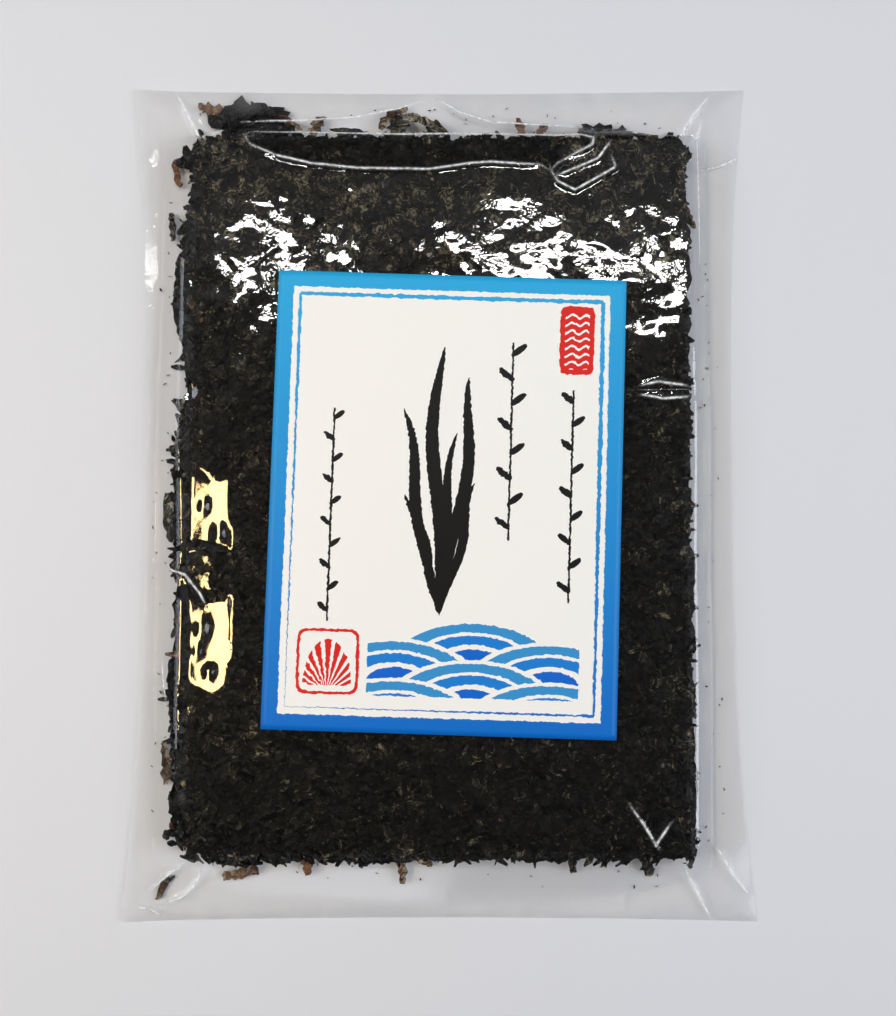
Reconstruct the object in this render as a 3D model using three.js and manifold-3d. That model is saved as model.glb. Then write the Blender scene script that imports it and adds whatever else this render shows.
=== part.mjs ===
// A pack of dried rock nori: four felted sheets of seaweed stacked in a clear film bag, with a paper label
// stuck on the front. Millimetres, +Z up, the pack lying on its back. The origin is on the surface that it
// lies on, under the middle of the bag. +X is the right of the label and +Y its top.
import * as THREE from "three";
import { mergeVertices } from "three/addons/utils/BufferGeometryUtils.js";
import Module from "manifold-3d";

const wasm = await Module();
wasm.setup();

// The bag: lay-flat size at its corners, how far its long edges draw in at the middle, and its film
const BAG_WIDTH = 193;
const BAG_LENGTH = 258;
const BAG_WAIST = 5.5;
const END_BOW = 1.2;
const FILM = 0.4;
const GAP = 0.3;

// The stack under the film: edges of the flat top of the bag, and the run of the slope outside each edge
const TOP_EDGE = 114;
const BOTTOM_EDGE = -111.5;
const LEFT_EDGE = -76;
const RIGHT_EDGE = 79.5;
const TOP_RUN = 13;
const BOTTOM_RUN = 12.5;
const LEFT_RUN = 8;
const RIGHT_RUN = 4.5;
const SEAM_HEIGHT = FILM + GAP;
const CROWN_HEIGHT = 9.75;
const CROWN_WAVE = 0.12;

// Pinched folds of film that run from the stack's corners to the bag's corners
const FOLD_HEIGHT = 2.2;
const FOLD_WIDTH = 3.4;

// The label: its size, thickness, middle and slant on the bag
const LABEL_WIDTH = 105.5;
const LABEL_LENGTH = 138;
const LABEL_THICKNESS = 0.3;
const LABEL_MIDDLE = [2.1, -2.4];
const LABEL_SLANT = -1.8;

// The sheets: thickness, and the step from one to the next
const SHEET_THICKNESS = 1.5;
const SHEET_STEP = 1.85;
const SHEET_FLOOR = SEAM_HEIGHT + 0.25;
const OUTLINE_STEP = 5.2;
const BLADE_THICKNESS = 0.7;
const CLEARANCE = 0.45;

// A repeatable random number maker: the same seed gives the same sheet
function seeded(seed) {
  let state = seed >>> 0;
  return () => {
    state = (state + 0x6d2b79f5) >>> 0;
    let t = state;
    t = Math.imul(t ^ (t >>> 15), t | 1);
    t ^= t + Math.imul(t ^ (t >>> 7), t | 61);
    return ((t ^ (t >>> 14)) >>> 0) / 4294967296;
  };
}

function between(random, low, high) {
  return low + (high - low) * random();
}

// Half of the bag's width at y, and half of its length at x
function halfWidth(y) {
  const share = Math.min(Math.abs(y) / (BAG_LENGTH / 2), 1);
  return BAG_WIDTH / 2 - BAG_WAIST * (1 - share ** 3);
}

function halfLength(x) {
  const share = Math.min(Math.abs(x) / (BAG_WIDTH / 2), 1);
  return BAG_LENGTH / 2 - END_BOW * (1 - share ** 2);
}

// How far out on the slope a point is: 0 on the flat top, 1 at the slope's foot
function slopeShare(x, y) {
  const across = x < 0 ? (LEFT_EDGE - x) / LEFT_RUN : (x - RIGHT_EDGE) / RIGHT_RUN;
  const along = y < 0 ? (BOTTOM_EDGE - y) / BOTTOM_RUN : (y - TOP_EDGE) / TOP_RUN;
  return Math.min(Math.hypot(Math.max(across, 0), Math.max(along, 0)), 1);
}

// The pinched folds: each is a ridge on the line from a corner of the stack to the bag's corner
const FOLDS = [
  [LEFT_EDGE, TOP_EDGE, -1, 1],
  [RIGHT_EDGE, TOP_EDGE, 1, 1],
  [LEFT_EDGE, BOTTOM_EDGE, -1, -1],
  [RIGHT_EDGE, BOTTOM_EDGE, 1, -1],
].map(([x, y, signX, signY]) => ({
  from: new THREE.Vector2(x, y),
  to: new THREE.Vector2((signX * BAG_WIDTH) / 2, (signY * BAG_LENGTH) / 2),
}));

function foldHeight(x, y) {
  let height = 0;
  for (const { from, to } of FOLDS) {
    const line = to.clone().sub(from);
    const offset = new THREE.Vector2(x, y).sub(from);
    const along = offset.dot(line) / line.lengthSq();
    if (along > 0 && along < 1) {
      const aside = Math.abs(offset.cross(line)) / line.length();
      height += FOLD_HEIGHT * Math.sin(Math.PI * along) * Math.exp(-((aside / FOLD_WIDTH) ** 2));
    }
  }
  return height;
}

// The height of the front film's inner face
function filmInside(x, y) {
  const rise = 1 - slopeShare(x, y);
  const wave = Math.sin(x / 17 + 0.6) * Math.cos(y / 23 - 0.4);
  return SEAM_HEIGHT + (CROWN_HEIGHT - SEAM_HEIGHT) * rise + CROWN_WAVE * wave * rise + foldHeight(x, y);
}

// Geometry and solids
function solidOf(geometry) {
  const bare = geometry.clone();
  bare.deleteAttribute("normal");
  bare.deleteAttribute("uv");
  const merged = mergeVertices(bare, 1e-4);
  return new wasm.Manifold(
    new wasm.Mesh({
      numProp: 3,
      vertProperties: new Float32Array(merged.attributes.position.array),
      triVerts: new Uint32Array(merged.index.array),
    }),
  );
}

function geometryOf(solid) {
  const mesh = solid.getMesh();
  const positions = new Float32Array(mesh.numVert * 3);
  for (let i = 0; i < mesh.numVert; i++) {
    positions.set(mesh.vertProperties.subarray(i * mesh.numProp, i * mesh.numProp + 3), i * 3);
  }
  const geometry = new THREE.BufferGeometry();
  geometry.setAttribute("position", new THREE.BufferAttribute(positions, 3));
  geometry.setIndex(new THREE.BufferAttribute(new Uint32Array(mesh.triVerts), 1));
  geometry.computeVertexNormals();
  return geometry;
}

// The largest body of a solid, without the loose scraps beside it
function largestBody(solid) {
  return solid.decompose().reduce((largest, body) => (body.volume() > largest.volume() ? body : largest));
}

// Joins solids into one body. Its corners are rounded to the mesh's own precision before it is kept.
function joined(solids) {
  const whole = largestBody(wasm.Manifold.union(solids));
  return largestBody(solidOf(geometryOf(whole)));
}

// A box of nx by ny cells whose every vertex is placed by a rule: place(i, j, top) gives its point. The
// lower face's cells are split along the same diagonals as the upper face's, so that the two never cross.
function gridBox(nx, ny, place) {
  const geometry = new THREE.BoxGeometry(nx, ny, 1, nx, ny, 1);
  const lower = geometry.groups[5];
  for (let k = lower.start; k < lower.start + lower.count; k += 6) {
    const [a, b, d, , c] = geometry.index.array.slice(k, k + 6);
    geometry.index.array.set([a, b, c, a, c, d], k);
  }
  const position = geometry.attributes.position;
  for (let k = 0; k < position.count; k++) {
    const i = Math.round(position.getX(k) + nx / 2);
    const j = Math.round(position.getY(k) + ny / 2);
    position.setXYZ(k, ...place(i, j, position.getZ(k) > 0));
  }
  return geometry;
}

// Grid lines for the film: evenly spaced on the flat top, closer on the slopes, then out to the edge
function filmLines(low, high, lowRun, highRun, cells) {
  const lines = [];
  for (const share of [1, 0.66, 0.33]) lines.push(low - lowRun * share);
  for (let k = 0; k <= cells; k++) lines.push(low + ((high - low) * k) / cells);
  for (const share of [0.33, 0.66, 1]) lines.push(high + highRun * share);
  return lines;
}

const COLUMNS = filmLines(LEFT_EDGE, RIGHT_EDGE, LEFT_RUN, RIGHT_RUN, 12);
const ROWS = filmLines(BOTTOM_EDGE, TOP_EDGE, BOTTOM_RUN, TOP_RUN, 16);
const MARGIN_CELLS = 2;

// A line's place: a fixed one over the stack, and outside it a share of the way to the bag's edge
function linePlace(lines, index, edge) {
  const inner = index - MARGIN_CELLS;
  if (inner < 0) return lines[0] + ((-edge - lines[0]) * -inner) / MARGIN_CELLS;
  const beyond = inner - (lines.length - 1);
  const last = lines[lines.length - 1];
  return beyond > 0 ? last + ((edge - last) * beyond) / MARGIN_CELLS : lines[inner];
}

function filmPoint(i, j) {
  const roughY = linePlace(ROWS, j, BAG_LENGTH / 2);
  const x = linePlace(COLUMNS, i, halfWidth(roughY));
  return [x, linePlace(ROWS, j, halfLength(x))];
}

function frontFilm() {
  return gridBox(COLUMNS.length - 1 + 2 * MARGIN_CELLS, ROWS.length - 1 + 2 * MARGIN_CELLS, (i, j, top) => {
    const [x, y] = filmPoint(i, j);
    return [x, y, filmInside(x, y) + (top ? FILM : 0)];
  });
}

// The back panel lies flat, with the same outline as the front one
function backFilm() {
  const columns = 6;
  const rows = 16;
  return gridBox(columns, rows, (i, j, top) => {
    const roughY = BAG_LENGTH * (j / rows - 0.5);
    const x = 2 * halfWidth(roughY) * (i / columns - 0.5);
    return [x, 2 * halfLength(x) * (j / rows - 0.5), top ? FILM : 0];
  });
}

function label() {
  const columns = 8;
  const rows = 10;
  const slant = THREE.MathUtils.degToRad(LABEL_SLANT);
  return gridBox(columns, rows, (i, j, top) => {
    const place = new THREE.Vector2(LABEL_WIDTH * (i / columns - 0.5), LABEL_LENGTH * (j / rows - 0.5));
    place.rotateAround(new THREE.Vector2(0, 0), slant);
    const x = place.x + LABEL_MIDDLE[0];
    const y = place.y + LABEL_MIDDLE[1];
    return [x, y, filmInside(x, y) + FILM + GAP + (top ? LABEL_THICKNESS : 0)];
  });
}

// A blade of seaweed: a thin tapered strip of a few cells that follows a curved middle line. heading and
// curl turn it in plan, and height(share, x, y, top) gives its upper and its lower face.
function blade({ start, heading, length, width, tip, root, curl, height, cells }) {
  const line = [];
  let x = start[0];
  let y = start[1];
  for (let k = 0; k <= cells; k++) {
    const share = k / cells;
    const angle = heading + curl * share;
    line.push({ x, y, angle, share });
    x += (Math.cos(angle) * length) / cells;
    y += (Math.sin(angle) * length) / cells;
  }
  return gridBox(cells, 1, (i, j, top) => {
    const at = line[i];
    const swell = Math.sin(Math.PI * (0.12 + 0.76 * at.share));
    const ends = root + (tip - root) * at.share;
    const half = (width / 2) * (ends + (1 - ends) * swell) * (j === 0 ? -1 : 1);
    const px = at.x - Math.sin(at.angle) * half;
    const py = at.y + Math.cos(at.angle) * half;
    return [px, py, height(at.share, px, py, top)];
  });
}

// A height rule for a flat blade that stays between the back panel and the front film
function underFilm(wanted) {
  return (share, x, y, top) => {
    const ceiling = filmInside(x, y) - CLEARANCE - BLADE_THICKNESS / 2;
    const floor = SEAM_HEIGHT + 0.05 + BLADE_THICKNESS / 2;
    const middle = Math.max(Math.min(wanted(share), ceiling), floor);
    return middle + (top ? BLADE_THICKNESS / 2 : -BLADE_THICKNESS / 2);
  };
}

// The ragged outline of a sheet: a rectangle whose edge wanders and is torn back in places
function sheetOutline(sheet, random) {
  const [left, bottom, right, top] = sheet.box;
  const corners = [
    [left, bottom],
    [right, bottom],
    [right, top],
    [left, top],
  ];
  const phases = [0, 1, 2].map(() => between(random, 0, 6.28));
  const points = [];
  corners.forEach(([ax, ay], side) => {
    const [bx, by] = corners[(side + 1) % 4];
    const length = Math.hypot(bx - ax, by - ay);
    const steps = Math.round(length / OUTLINE_STEP);
    const inward = [-(by - ay) / length, (bx - ax) / length];
    for (let k = 0; k < steps; k++) {
      const share = k / steps;
      const x = ax + (bx - ax) * share;
      const y = ay + (by - ay) * share;
      const run = share * length + side * 211;
      const wander = 0.9 + 0.5 * Math.sin(run / 19 + phases[0]) + 0.4 * Math.sin(run / 7.3 + phases[1]);
      const torn = between(random, 0, 1.5);
      let depth = k === 0 ? between(random, 1.6, 3.2) : wander + torn;
      for (const [notchX, notchY, reach, deep] of sheet.notches) {
        const near = Math.hypot(x - notchX, y - notchY) / reach;
        if (near < 1) depth += deep * (1 - near * near);
      }
      const turn = k === 0 ? [inward[0] + inward[1], inward[1] - inward[0]] : inward;
      points.push(new THREE.Vector2(x + turn[0] * depth, y + turn[1] * depth));
    }
  });
  return new THREE.Shape(points);
}

// Blades that stick out of a sheet's edge, rooted in it, and kept under the film
function edgeBlades(sheet, random) {
  const [left, bottom, right, top] = sheet.box;
  const middle = sheet.floor + SHEET_THICKNESS / 2;
  const solids = [];
  const grow = (x, y, outward, reach) => {
    const sink = 5;
    const heading = outward + between(random, -0.75, 0.75);
    const lean = between(random, -0.5, 0.35);
    solids.push(
      solidOf(
        blade({
          start: [x - Math.cos(heading) * sink, y - Math.sin(heading) * sink],
          heading,
          length: sink + reach,
          width: between(random, 2.2, 4.6),
          root: 0.8,
          tip: between(random, 0.25, 0.7),
          curl: between(random, -0.8, 0.8),
          height: underFilm((share) => middle + lean * share),
          cells: 2,
        }),
      ),
    );
  };
  const walk = (length, step, place) => {
    for (let run = between(random, 4, 12); run < length - 4; run += between(random, 0.6, 1.4) * step) {
      place(run);
    }
  };
  const step = sheet.bladeStep;
  const reach = () => sheet.reach * (0.35 + 0.65 * random() ** 1.6);
  walk(right - left, step, (run) => grow(left + run, top - 1.5, Math.PI / 2, reach()));
  walk(right - left, step, (run) => grow(left + run, bottom + 1.5, -Math.PI / 2, reach()));
  walk(top - bottom, 1.6 * step, (run) => grow(left + 1.5, bottom + run, Math.PI, reach() * 0.2));
  walk(top - bottom, 2 * step, (run) => grow(right - 1.5, bottom + run, 0, reach() * 0.25));
  return solids;
}

// Blades felted into a face of a sheet: the ends and the lower face are sunk in it and the middle swells
// out. side is 1 for the upper face and -1 for the lower one.
function faceBlades(sheet, random, side, cell, arch) {
  const [left, bottom, right, top] = sheet.box;
  const face = side > 0 ? sheet.floor + SHEET_THICKNESS : sheet.floor;
  const columns = Math.round((right - left - 8) / cell[0]);
  const rows = Math.round((top - bottom - 8) / cell[1]);
  const solids = [];
  for (let i = 0; i < columns; i++) {
    for (let j = 0; j < rows; j++) {
      const x = left + 6 + ((right - left - 12) * (i + between(random, 0.1, 0.9))) / columns;
      const y = bottom + 6 + ((top - bottom - 12) * (j + between(random, 0.1, 0.9))) / rows;
      const heading = between(random, 0, Math.PI * 2);
      const length = between(random, 11, 23);
      const curl = between(random, -1.3, 1.3);
      const lift = between(random, 0.45, 1) * arch;
      const middleTurn = heading + curl / 2;
      const start = [x - (Math.cos(middleTurn) * length) / 2, y - (Math.sin(middleTurn) * length) / 2];
      const inside =
        Math.min(start[0] - left, right - start[0]) > 4 && Math.min(start[1] - bottom, top - start[1]) > 4;
      if (!inside) continue;
      solids.push(
        solidOf(
          blade({
            start,
            heading,
            length,
            width: between(random, 2.6, 5.2),
            root: 0.5,
            tip: 0.35,
            curl,
            height: (share, px, py, outer) =>
              face + side * (outer === side > 0 ? lift * Math.sin(Math.PI * share) - 0.12 : -0.4),
            cells: 2,
          }),
        ),
      );
    }
  }
  return solids;
}

// Chosen blades that stand out in the real pack: where each starts, its heading in degrees, and its size
function chosenBlades(sheet) {
  return sheet.blades.map(([x, y, degrees, length, width, curl]) =>
    solidOf(
      blade({
        start: [x, y],
        heading: THREE.MathUtils.degToRad(degrees),
        length,
        width,
        root: 0.9,
        tip: 0.45,
        curl,
        height: underFilm((share) => sheet.floor + SHEET_THICKNESS / 2 - 0.3 * share),
        cells: 4,
      }),
    ),
  );
}

// The sheets from the bottom up: box is left, bottom, right, top; notches are x, y, reach and depth
const SHEETS = [
  {
    name: "nori_sheet_1",
    seed: 13,
    box: [-81.5, -110.5, 77.6, 112.5],
    notches: [
      [-81.5, 38, 15, 6],
      [-81.5, -45, 7, 3.5],
      [-81.5, -110.5, 12, 5],
      [77.6, 112.5, 12, 4],
    ],
    bladeStep: 11,
    reach: 10,
    blades: [
      [-67, 104, 101, 19.5, 12, -0.25],
      [-58, 104, 78, 20, 11, 0.35],
      [-63, 103, 92, 20.5, 6, 0.1],
      [-62, 121, 178, 14, 4.5, -0.5],
      [-38, 108, 50, 15, 3.5, 0.6],
      [-8, 109, 128, 17, 4.5, 1.2],
      [-2, 110, 60, 14, 4, -1.3],
      [33, 108, 80, 11, 4.5, 0.5],
      [-72, -100, -75, 16, 4, 0.3],
      [-36, -106, -80, 13, 3.5, -0.7],
      [2, -106, -95, 14, 4.5, 0.2],
      [66, -106, -80, 9, 5, 0.2],
    ],
    faces: [[-1, [25, 28], 0.2]],
  },
  {
    name: "nori_sheet_2",
    seed: 29,
    box: [-78.6, -109.5, 77.2, 112.8],
    notches: [
      [-78.6, 34, 20, 4],
      [-78.6, -110, 10, 5],
    ],
    bladeStep: 13,
    reach: 6.5,
    blades: [
      [-24, -105, -82, 9, 5, 0.6],
      [48, -105, -92, 10, 4.5, 0],
    ],
    faces: [],
  },
  {
    name: "nori_sheet_3",
    seed: 37,
    box: [-75.6, -110, 77.6, 112],
    notches: [
      [-75.6, 30, 16, 2.5],
      [-75.6, -110, 10, 6],
    ],
    bladeStep: 16,
    reach: 3.5,
    blades: [],
    faces: [],
  },
  {
    name: "nori_sheet_4",
    seed: 41,
    box: [-72, -111, 77.8, 113.2],
    notches: [
      [-72, -111, 9, 4],
      [77.8, 113.2, 9, 3],
    ],
    bladeStep: 17,
    reach: 1.8,
    blades: [],
    faces: [[1, [12.2, 14.6], 1.15]],
  },
];

function noriSheet(sheet, index) {
  const random = seeded(sheet.seed);
  sheet.floor = SHEET_FLOOR + index * SHEET_STEP;
  const slab = new THREE.ExtrudeGeometry(sheetOutline(sheet, random), {
    depth: SHEET_THICKNESS,
    bevelEnabled: false,
  });
  slab.translate(0, 0, sheet.floor);
  const solids = [solidOf(slab), ...edgeBlades(sheet, random), ...chosenBlades(sheet)];
  for (const [side, cell, arch] of sheet.faces) solids.push(...faceBlades(sheet, random, side, cell, arch));
  return geometryOf(joined(solids));
}

// A single blade that has come loose and lies in the bag's lower left corner
function looseBlade() {
  return blade({
    start: [-84.6, -121.6],
    heading: THREE.MathUtils.degToRad(68),
    length: 7,
    width: 2.2,
    root: 0.6,
    tip: 0.4,
    curl: 0.2,
    height: underFilm(() => SEAM_HEIGHT + 0.35),
    cells: 3,
  });
}

const SEAWEED = new THREE.MeshStandardMaterial({ color: 0x1d1b16, roughness: 0.62, metalness: 0 });
const CLEAR_FILM = new THREE.MeshStandardMaterial({
  color: 0xeef1f2,
  roughness: 0.08,
  metalness: 0,
  transparent: true,
  opacity: 0.2,
});
const LABEL_PAPER = new THREE.MeshStandardMaterial({ color: 0xf6f4ee, roughness: 0.45, metalness: 0 });

function named(name, geometry, material) {
  const mesh = new THREE.Mesh(geometry, material);
  mesh.name = name;
  return mesh;
}

const pack = new THREE.Group();
pack.name = "rock_nori_pack";
pack.add(named("back_film", backFilm(), CLEAR_FILM));
SHEETS.forEach((sheet, index) => pack.add(named(sheet.name, noriSheet(sheet, index), SEAWEED)));
pack.add(named("loose_blade", looseBlade(), SEAWEED));
pack.add(named("front_film", frontFilm(), CLEAR_FILM));
pack.add(named("label", label(), LABEL_PAPER));

export default pack;
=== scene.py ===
"""A pack of rock nori: felted sheets of dried seaweed in a clear film bag with a printed paper label."""

import math

import bmesh
import bpy
import numpy as np
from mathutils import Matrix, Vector, noise


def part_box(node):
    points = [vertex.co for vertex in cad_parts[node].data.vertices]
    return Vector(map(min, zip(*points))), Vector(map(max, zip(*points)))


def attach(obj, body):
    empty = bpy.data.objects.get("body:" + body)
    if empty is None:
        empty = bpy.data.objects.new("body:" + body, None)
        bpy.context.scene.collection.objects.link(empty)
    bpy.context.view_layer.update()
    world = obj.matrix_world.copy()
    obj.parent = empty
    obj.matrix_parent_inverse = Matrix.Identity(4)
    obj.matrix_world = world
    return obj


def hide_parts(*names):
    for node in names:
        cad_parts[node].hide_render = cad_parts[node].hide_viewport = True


bl_info = {
    "name": "Rock nori pack",
    "version": (1, 0, 0),
    "blender": (4, 5, 0),
    "location": "3D View > Sidebar > Rock nori",
    "description": "Builds a film bag of dried rock nori sheets with a paper label",
    "category": "Add Mesh",
}

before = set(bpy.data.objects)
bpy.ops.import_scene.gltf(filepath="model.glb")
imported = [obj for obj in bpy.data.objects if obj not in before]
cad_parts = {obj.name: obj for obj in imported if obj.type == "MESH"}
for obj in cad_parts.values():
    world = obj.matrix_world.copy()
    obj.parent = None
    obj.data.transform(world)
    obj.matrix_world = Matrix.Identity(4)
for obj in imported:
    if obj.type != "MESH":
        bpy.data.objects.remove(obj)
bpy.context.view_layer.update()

MM = 0.001
BODY = "root"

# The bag in millimetres: its outline as the solids have it, and the heights of its two films
BAG_WIDTH = (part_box("front_film")[1][0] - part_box("front_film")[0][0]) / MM
BAG_LENGTH = (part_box("front_film")[1][1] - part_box("front_film")[0][1]) / MM
BAG_WAIST = 5.5
END_BOW = 1.2
BACK_FILM = 0.22
SEALED_RIM = 0.45
LOWEST_FRONT = 0.3
CROWN = 10.05

# Where the film reaches the stack's top face, at the foot and at the top of the pack
STACK_FOOT = -107.5
STACK_TOP = 110.5

# The stack: its lowest face, the step from sheet to sheet, a sheet's thickness, and how far its edges are
# torn back and its top corners cut
FIRST_FLOOR = 0.75
SHEET_STEP = 1.9
SHEET_THICKNESS = 1.6
TEAR_DEPTH = 2.2
CORNER_CUT = 4.5

# How far seaweed stays below the film and above the surface that the pack lies on, and the count of crumbs
SLAB_GAP = 0.6
FROND_GAP = 0.12
LOWEST_FROND = 0.25
CRUMBS = 110

LABEL_MIDDLE = (2.1, -2.4)
LABEL_SIZE = (105.5, 138.0)
LABEL_SLANT = math.radians(-1.8)
LABEL_THICKNESS = 0.3
LABEL_LIFT = 0.38


def linear(colour):
    """A colour from its sRGB hex value, as the linear RGBA that nodes and lights take."""
    channels = [int(colour[k : k + 2], 16) / 255 for k in (1, 3, 5)]
    return [c / 12.92 if c <= 0.04045 else ((c + 0.055) / 1.055) ** 2.4 for c in channels] + [1.0]


# Shapes over the pack, in millimetres, on whole arrays of points


def soft_ramp(t, firmness=10.0):
    """0 below 0 and 1 above 1, straight between them, with rounded bends: film over an edge."""
    return (np.logaddexp(0, firmness * t) - np.logaddexp(0, firmness * (t - 1))) / firmness


def wrinkle(x, y, size, seed):
    """Smooth random relief from -1 to 1 whose swells are about size across."""
    points = zip((x / size).tolist(), (y / size).tolist())
    return np.array([noise.noise(Vector((px, py, seed))) for px, py in points])


def bag_half_width(y):
    share = np.minimum(np.abs(y) / (BAG_LENGTH / 2), 1)
    return BAG_WIDTH / 2 - BAG_WAIST * (1 - share**3)


def bag_half_length(x):
    share = np.minimum(np.abs(x) / (BAG_WIDTH / 2), 1)
    return BAG_LENGTH / 2 - END_BOW * (1 - share**2)


def on_bag(u, y):
    """A place in the bag's bowed outline, from a share of its width and a place along a straight bag."""
    x = 2 * bag_half_width(y) * (u - 0.5)
    return x, 2 * bag_half_length(x) * y / BAG_LENGTH


def from_rim(x, y):
    """How far each place lies inside the bag's outline."""
    return np.minimum(bag_half_width(y) - np.abs(x), bag_half_length(x) - np.abs(y))


# Where the film comes down to the back panel: at the sides with the width of the slope up to the stack, and
# at the ends as lines of points
LEFT_FOOT = -85.8
LEFT_SLOPE = 6.4
RIGHT_FOOT = 82.6
RIGHT_SLOPE = 4.6
TOP_FOOT = [
    (-96, 110), (-74, 112), (-62, 117.8), (-43, 118.3), (-26, 119.4), (-12, 122.2), (-4, 125.4), (-1, 125.2),
    (7, 120.9), (16, 117.8), (28, 116.8), (38, 116.4), (60, 115.8), (78, 111.5), (96, 109),
]
BOTTOM_FOOT = [
    (-96, -112), (-74, -113), (-60, -119), (-20, -121.5), (20, -121), (60, -119.5), (78, -114), (96, -112),
]

# The lower of the two long creases at the top, where the slack film between them starts to slope
SLACK_START = [
    (-60, 111), (-50, 104.1), (-39, 101.6), (-24, 100), (-2, 99.7), (16, 101.9), (31, 101), (34, 99.2),
]
SLACK_ENDS = (-60.0, 42.0)

# Creases in the film: points along each, the ridge's height, and its half width
CREASES = [
    ([(-62.5, 117.6), (-43.6, 118.2), (-26.4, 119.2), (-12.3, 122.1), (-3.8, 125.6)], 0.45, 0.6),
    ([(-0.7, 125.6), (6.6, 120.8), (16.0, 117.6), (28.5, 116.6), (44.0, 116.2)], 0.45, 0.6),
    ([(-83.0, 127.7), (-78.4, 118.7), (-73.3, 109.0)], 0.7, 0.6),
    ([(-71.6, 109.0), (-73.2, 112.0), (-71.0, 114.2), (-66.5, 115.4)], 0.4, 0.55),
    ([(85.1, 126.4), (79.0, 118.7), (74.2, 110.6)], 0.7, 0.6),
    ([(82.7, 119.0), (79.9, 109.3), (80.4, 100.6), (81.0, 70.0)], 0.35, 0.6),
    ([(95.2, 107.4), (88.0, 104.0), (81.9, 102.6)], 0.5, 0.55),
    ([(-75.2, -110.2), (-81.0, -114.0), (-87.1, -119.1)], 0.5, 0.6),
    ([(-71.2, -112.6), (-73.6, -117.6), (-77.4, -121.2), (-82.5, -122.7)], 0.55, 0.65),
    ([(-84.0, -127.0), (-87.0, -124.6), (-91.0, -124.2)], 0.5, 0.8),
    ([(72.9, -110.2), (77.5, -119.0), (82.3, -128.0)], 0.6, 0.6),
    ([(84.0, -106.0), (88.5, -114.0), (94.0, -121.0)], 0.5, 0.8),
    ([(-60.0, 111.0), (-57.0, 112.4), (-42.6, 112.6), (-11.9, 111.6), (12.6, 111.8), (43.2, 110.9),
      (47.4, 109.6), (47.0, 107.4), (41.7, 104.6), (36.2, 101.6), (34.2, 99.2)], 0.3, 0.5),
    ([(-60.0, 111.0), (-57.8, 107.5), (-50.1, 104.1), (-39.4, 101.6), (-24.1, 100.0), (-2.7, 99.7),
      (9.5, 101.6), (15.6, 101.9), (31.0, 101.0), (34.2, 99.2)], 0.3, 0.5),
    ([(52.4, 108.2), (48.7, 103.1), (41.6, 100.0), (35.8, 97.5)], 0.28, 0.5),
    ([(34.2, 99.2), (36.4, 95.8), (41.6, 93.2), (48.6, 97.2), (54.0, 100.3), (53.0, 103.5)], 0.28, 0.5),
    ([(-82.6, -22.0), (-79.5, -23.0), (-76.0, -24.0), (-71.5, -29.5), (-69.8, -33.0)], 0.3, 0.45),
    ([(-84.5, -50.0), (-83.6, -57.0), (-82.2, -62.0)], 0.35, 0.5),
    ([(56.5, -92.0), (60.5, -97.5), (64.0, -103.5), (68.5, -97.0)], 0.3, 0.5),
    ([(61.0, 33.0), (66.0, 34.2), (75.0, 33.0)], 0.25, 0.45),
    ([(61.0, 30.2), (68.0, 29.0), (75.5, 29.6)], 0.25, 0.45),
]


def crease_place(x, y, points):
    """The distance from a line of points, negative to its right, and a strength that fades at its ends."""
    nearest = np.full_like(x, 99.0)
    strength = np.zeros_like(x)
    lengths = [math.dist(a, b) for a, b in zip(points, points[1:])]
    total = sum(lengths)
    run = 0.0
    for (ax, ay), (bx, by), length in zip(points, points[1:], lengths):
        along = np.clip(((x - ax) * (bx - ax) + (y - ay) * (by - ay)) / length**2, 0, 1)
        aside = np.hypot(x - ax - along * (bx - ax), y - ay - along * (by - ay))
        left = np.sign((bx - ax) * (y - ay) - (by - ay) * (x - ax))
        share = (run + along * length) / total
        closer = aside < np.abs(nearest)
        nearest = np.where(closer, aside * left, nearest)
        strength = np.where(closer, np.clip(np.minimum(share, 1 - share) * 6 + 0.15, 0, 1), strength)
        run += length
    return nearest, strength


def crease_marks(x, y):
    """The side of the nearest crease and how marked it is there, for the film's material."""
    nearest = np.full_like(x, 99.0)
    marked = np.zeros_like(x)
    for points, _, _ in CREASES:
        side, strength = crease_place(x, y, points)
        closer = np.abs(side) < np.abs(nearest)
        nearest = np.where(closer, side, nearest)
        marked = np.where(closer, strength * np.exp(-((side / 1.6) ** 2)), marked)
    return np.clip(nearest, -3, 3), marked


def fin_creases():
    """Short seeded creases that fan out from the stack across the film's flat margins."""
    draw = np.random.default_rng(5)
    creases = []
    for side in range(4):
        for _ in range(9 if side < 2 else 12):
            along = draw.uniform(-1, 1)
            lean = draw.uniform(-0.5, 0.5)
            reach = draw.uniform(4, 9)
            if side < 2:
                sign = 1 if side else -1
                start = (sign * draw.uniform(82, 85), along * 105)
                end = (start[0] + sign * reach, start[1] + lean * reach)
            else:
                sign = 1 if side == 3 else -1
                start = (along * 78, sign * draw.uniform(117, 121))
                end = (start[0] + lean * reach, start[1] + sign * reach)
            creases.append(([start, end], draw.uniform(0.1, 0.3), draw.uniform(0.5, 1.1)))
    return creases


def crown_relief(x, y):
    """The gentle swells and the fine crackle of the film where it lies on the rough seaweed."""
    swell = 0.26 * wrinkle(x, y, 21.0, 1.5) + 0.15 * wrinkle(x, y, 9.0, 7.5)
    crackle = 0.075 * wrinkle(x, y, 3.8, 3.5) + 0.02 * wrinkle(x, y, 1.9, 9.5)
    return swell + crackle


# Dents in the taut film on the left shoulder: x, y, depth and half width
SHOULDER_DENTS = [
    (-70.8, -3.4, 0.13, 1.6),
    (-71.0, -40.0, 0.17, 2.3),
    (-72.2, -47.0, 0.11, 1.5),
    (-68.6, -53.0, 0.14, 1.8),
    (-66.0, -11.5, 0.16, 2.2),
    (-75.4, 31.5, 0.3, 1.8),
    (-62.0, 24.5, 0.28, 1.6),
]


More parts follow.
